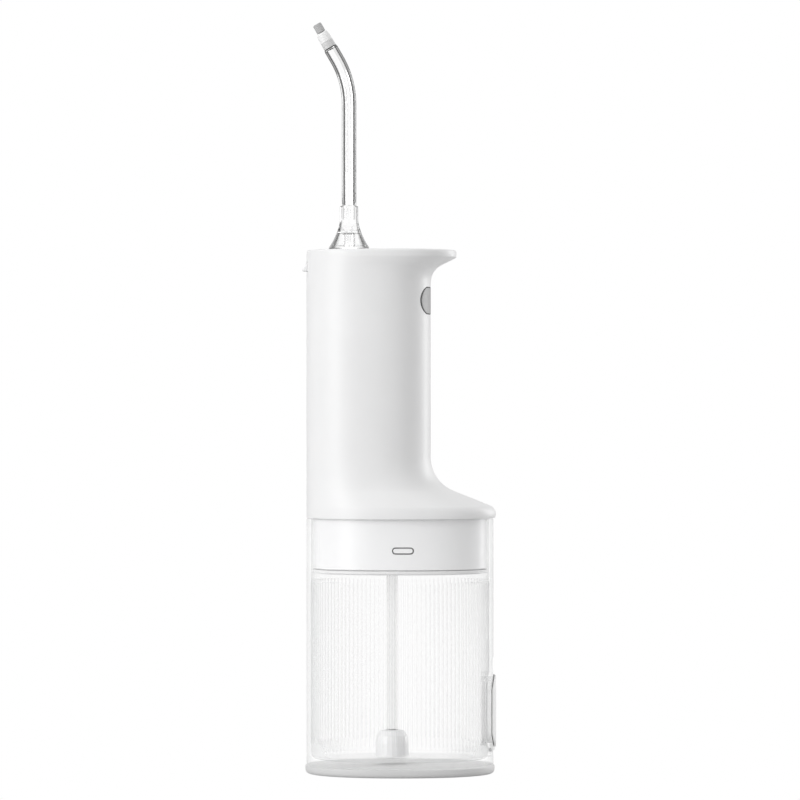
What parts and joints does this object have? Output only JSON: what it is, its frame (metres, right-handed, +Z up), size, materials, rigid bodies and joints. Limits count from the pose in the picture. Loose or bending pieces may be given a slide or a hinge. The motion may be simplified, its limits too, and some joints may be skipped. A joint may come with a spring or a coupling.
{
  "type": "water flosser",
  "caption": "Cordless water flosser: clear fluted water tank with a hinged fill plug, lift-off handle holding pump, motor and battery, and a turning bent nozzle.",
  "frame": {"origin": "middle of the underside of the grey base, the face it stands on", "axes": "+Z up along the tank and handle; +X to the front, where the power button and the fill plug are; -X to the back, where the charging port is; +Y completes the right-handed frame"},
  "size_m": [0.074, 0.0548, 0.2873],
  "materials": {
    "white_shell": "fine satin moulded ABS",
    "white_trim": "smooth moulded ABS",
    "frosted_tank": "translucent moulded plastic, clear band at the top, fluted inside",
    "grey_base": "satin moulded grey plastic",
    "grey_plastic": "satin moulded grey plastic",
    "clear_nozzle": "clear polished polycarbonate",
    "rubber_seal": "soft silicone rubber",
    "white_silicone": "soft white silicone",
    "steel": "plain machined steel",
    "motor_can": "drawn steel can",
    "gear_nylon": "natural nylon",
    "battery_wrap": "shrink-wrapped cell",
    "nickel_tab": "nickel strip",
    "circuit_board": "solder-masked board",
    "hose_silicone": "translucent silicone hose"
  },
  "bodies": {
    "tank": {"tank_shell": "frosted_tank", "base_cap": "grey_base", "foot_ring": "rubber_seal", "fill_cap_pin": "steel"},
    "fill_cap": {"fill_cap": "white_silicone", "fill_cap_seal": "white_silicone"},
    "handle": {"handle_shell": "white_shell", "top_cover": "white_shell", "nozzle_socket": "white_trim", "button_pad": "rubber_seal", "indicator_lens": "clear_nozzle", "control_board": "circuit_board", "tact_switch": "circuit_board", "charge_socket": "steel", "charge_board": "circuit_board", "battery_cell": "battery_wrap", "battery_tab_top": "nickel_tab", "battery_tab_bottom": "nickel_tab", "inner_frame": "gear_nylon", "pump_motor": "motor_can", "gear_axle": "steel", "axle_plate": "steel", "pump_cylinder": "white_trim", "inlet_valve": "rubber_seal", "outlet_valve": "rubber_seal", "pump_housing": "white_trim", "tank_seal": "white_silicone", "suction_tube": "hose_silicone", "intake_filter": "white_trim", "delivery_hose": "hose_silicone", "vent_insert": "white_trim", "housing_screw_1": "steel", "housing_screw_2": "steel", "housing_screw_3": "steel", "housing_screw_4": "steel", "release_spring": "steel"},
    "power_button": {"power_button": "grey_plastic"},
    "release_button": {"release_button": "white_trim"},
    "charge_cover": {"charge_cover": "white_silicone"},
    "turn_collar": {"turn_collar": "white_trim", "socket_o_ring": "rubber_seal"},
    "nozzle": {"nozzle_tube": "clear_nozzle", "nozzle_tip_collar": "white_trim", "nozzle_tip": "grey_plastic"},
    "motor_shaft": {"motor_shaft": "steel", "motor_pinion": "gear_nylon"},
    "crank_gear": {"crank_gear": "gear_nylon"},
    "piston": {"pump_piston": "white_trim", "piston_seal": "rubber_seal"}
  },
  "joints": [
    {"name": "handle_lift", "type": "slide", "parent": "tank", "child": "handle", "axis": [0, 0, 1], "range_m": [0, 0.1]},
    {"name": "fill_cap_hinge", "type": "hinge", "parent": "tank", "child": "fill_cap", "pos_m": [0.0345, 0, 0.0089], "axis": [0, 1, 0], "range_deg": [0, 95]},
    {"name": "power_press", "type": "slide", "parent": "handle", "child": "power_button", "axis": [-1, 0, 0], "range_m": [0, 0.0008], "stiffness_N_per_m": 400},
    {"name": "release_press", "type": "slide", "parent": "handle", "child": "release_button", "axis": [1, 0, 0], "range_m": [0, 0.0012], "stiffness_N_per_m": 300, "deforming": ["release_spring"]},
    {"name": "charge_cover_pull", "type": "slide", "parent": "handle", "child": "charge_cover", "axis": [-1, 0, 0], "range_m": [0, 0.012]},
    {"name": "nozzle_turn", "type": "hinge", "parent": "handle", "child": "turn_collar", "pos_m": [-0.0195, 0, 0.19], "axis": [0, 0, 1], "continuous": true},
    {"name": "nozzle_pull", "type": "slide", "parent": "turn_collar", "child": "nozzle", "axis": [0, 0, 1], "range_m": [0, 0.025]},
    {"name": "crank_spin", "type": "hinge", "parent": "handle", "child": "crank_gear", "pos_m": [0.0009, 0.0105, 0.094], "axis": [0, 1, 0], "continuous": true},
    {"name": "motor_spin", "type": "hinge", "parent": "handle", "child": "motor_shaft", "pos_m": [0.0162, 0.0105, 0.094], "axis": [0, 1, 0], "continuous": true},
    {"name": "piston_stroke", "type": "slide", "parent": "handle", "child": "piston", "axis": [1, 0, 0], "range_m": [-0.0035, 0.0035]}
  ],
  "couplings": [
    {"joint": "motor_spin", "follows": "crank_spin", "ratio": -4}
  ]
}
